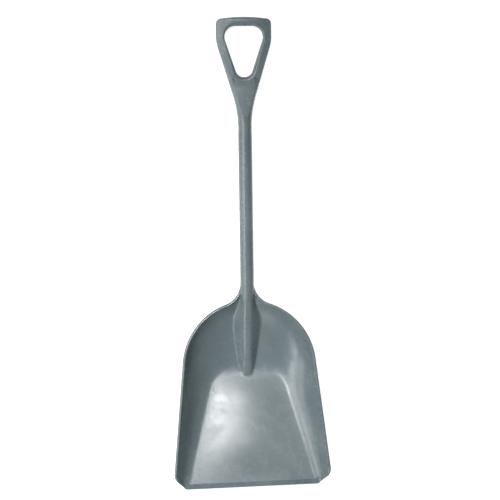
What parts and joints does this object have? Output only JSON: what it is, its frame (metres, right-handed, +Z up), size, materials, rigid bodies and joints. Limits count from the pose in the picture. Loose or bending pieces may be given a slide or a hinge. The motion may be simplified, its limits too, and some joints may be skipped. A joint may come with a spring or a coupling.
{
  "type": "grain scoop shovel",
  "caption": "Moulded plastic grain scoop shovel: deep flared open-mouthed pan with a rimmed wall, a ridge running from the round shaft into the pan, and a D-shaped grip.",
  "frame": {"origin": "on the ground under the centre of the shovel's bounding box, the shovel lying on its back with the heel of the pan and the back of the grip on the ground", "axes": "+X across the pan, square to the mirror plane; +Y from the pan's mouth to the grip, along the ground; +Z up"},
  "size_m": [0.3436, 1.0249, 0.1284],
  "materials": {
    "moulding": "semi-gloss moulded polypropylene, blue-grey, faintly mottled"
  },
  "bodies": {
    "root": {"pan": "moulding", "scraping_lip": "moulding", "rim_bead": "moulding", "ridge": "moulding", "left_shoulder": "moulding", "right_shoulder": "moulding", "neck": "moulding", "shaft": "moulding", "yoke": "moulding", "left_arm": "moulding", "right_arm": "moulding", "grip_bar": "moulding"}
  },
  "joints": []
}
